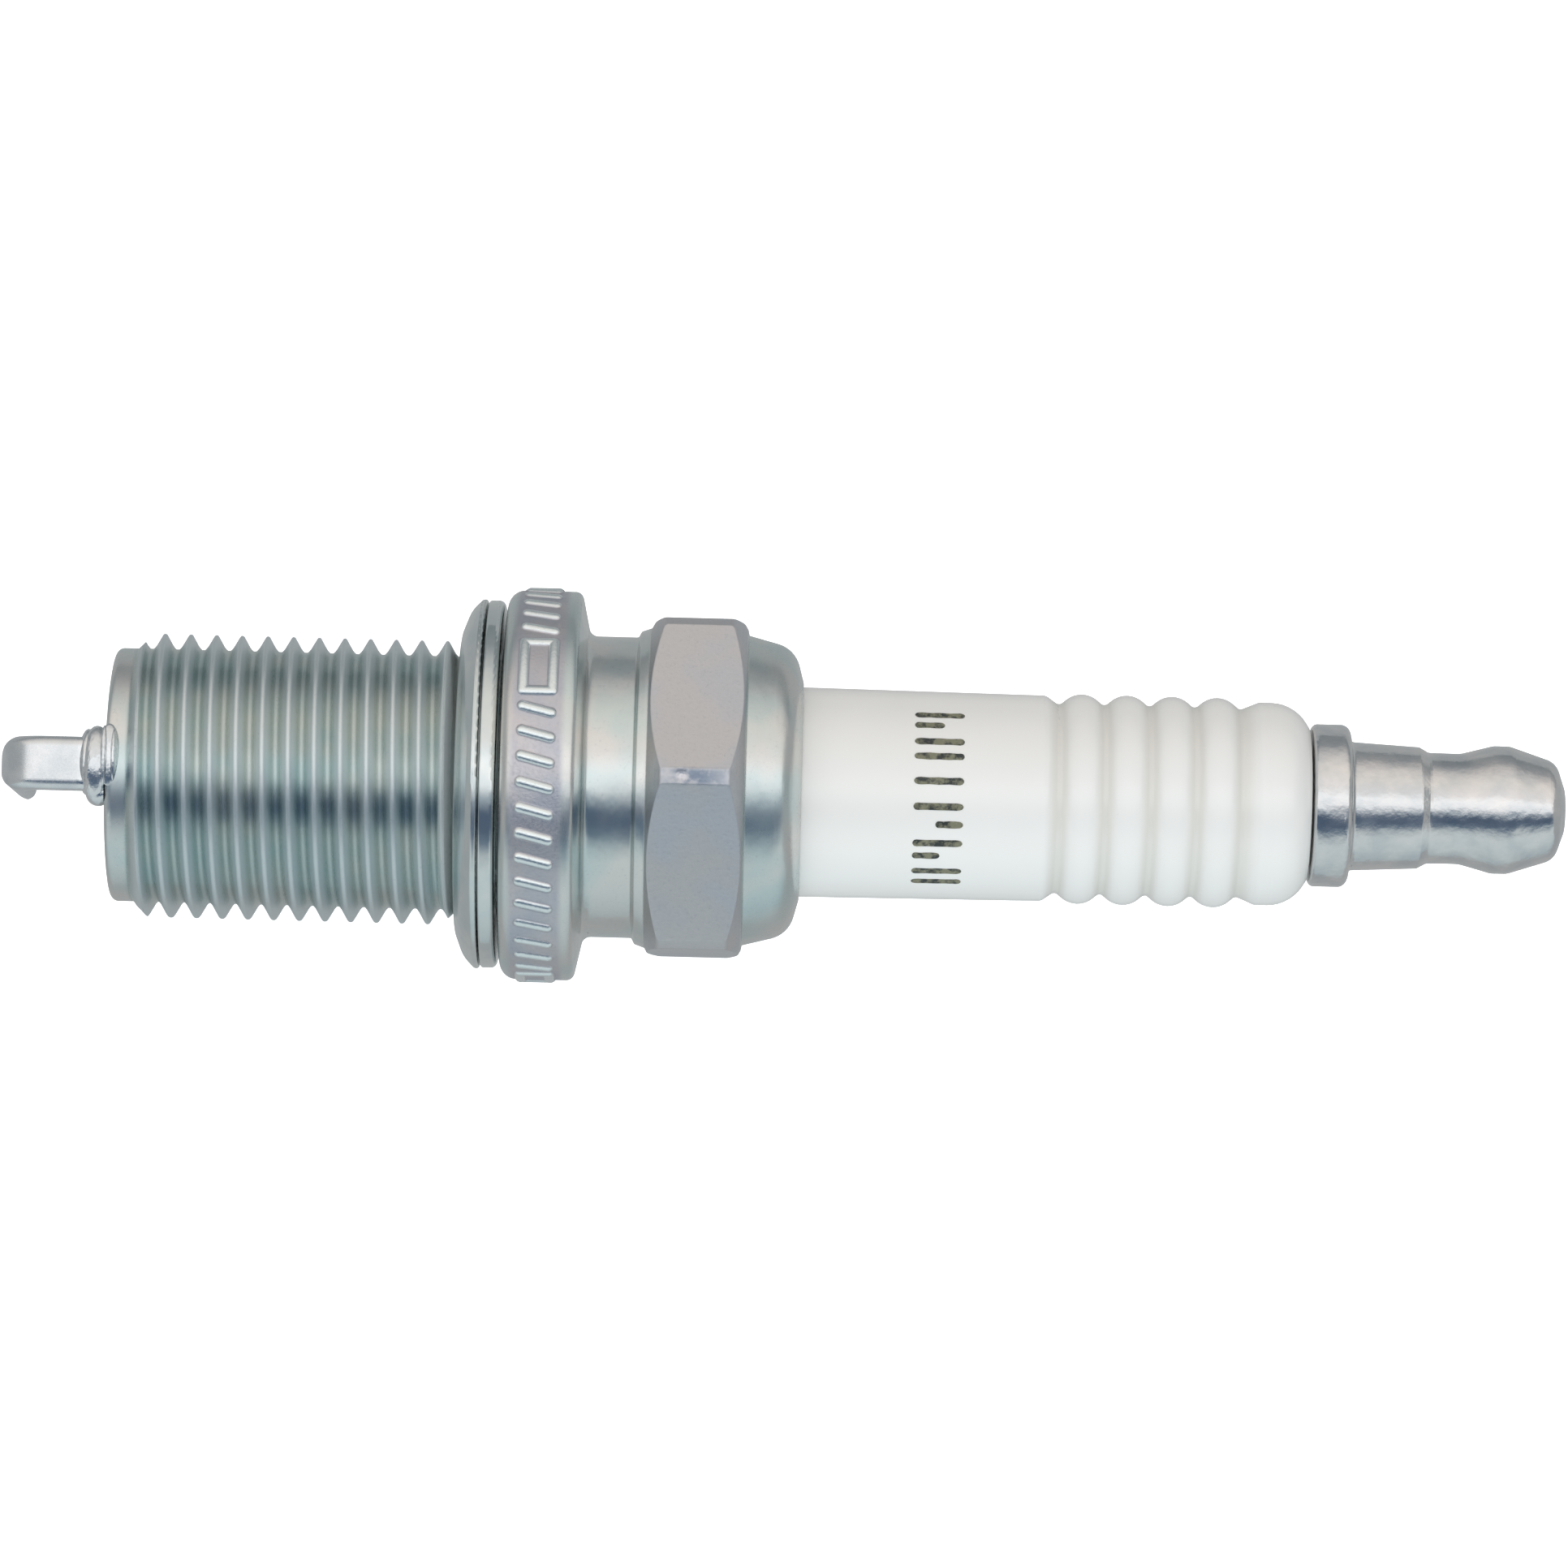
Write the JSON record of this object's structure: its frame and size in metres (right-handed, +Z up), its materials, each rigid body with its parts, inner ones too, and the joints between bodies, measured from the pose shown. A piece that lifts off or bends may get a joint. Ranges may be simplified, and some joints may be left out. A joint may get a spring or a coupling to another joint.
{
  "type": "spark plug",
  "caption": "Spark plug lying on its side: threaded metal shell with hexagon and gasket, ribbed white insulator, push-fit terminal, L-shaped ground electrode.",
  "frame": {"origin": "on the plug's axis, in the plane of the shell's seat face (front face of the flange)", "axes": "+X along the plug's axis towards the terminal, -X towards the spark gap; +Z up, on the side the ground electrode stands on; +Y completes the right-handed frame"},
  "size_m": [0.0758, 0.0192, 0.0192],
  "materials": {
    "zinc_plated_steel": "satin zinc plate, passivated blue",
    "bright_zinc_steel": "bright zinc plate",
    "nickel_alloy": "satin drawn nickel alloy",
    "nickel_plated_terminal": "bright nickel plate",
    "glazed_alumina": "clear glaze over white alumina",
    "plain_steel": "plain steel",
    "copper": "plain copper",
    "talc": "packed powder",
    "conductive_glass": "fused glass and metal powder",
    "resistor_compound": "fused carbon and glass compound"
  },
  "bodies": {
    "plug": {"shell": "zinc_plated_steel", "ground_electrode": "nickel_alloy", "insulator": "glazed_alumina", "inner_packing_washer": "plain_steel", "lower_wire_ring": "plain_steel", "powder_seal": "talc", "upper_wire_ring": "plain_steel", "centre_electrode": "nickel_alloy", "centre_electrode_core": "copper", "lower_glass_seal": "conductive_glass", "resistor": "resistor_compound", "upper_glass_seal": "conductive_glass", "terminal_stud": "nickel_plated_terminal"},
    "gasket": {"seat_gasket": "bright_zinc_steel"},
    "nut": {"terminal_nut": "nickel_plated_terminal"}
  },
  "joints": [
    {"name": "gasket_spin", "type": "hinge", "parent": "plug", "child": "gasket", "pos_m": [-0.0012, 0, 0], "axis": [1, 0, 0], "continuous": true},
    {"name": "terminal_nut_off", "type": "slide", "parent": "plug", "child": "nut", "axis": [1, 0, 0], "range_m": [0, 0.008]}
  ]
}
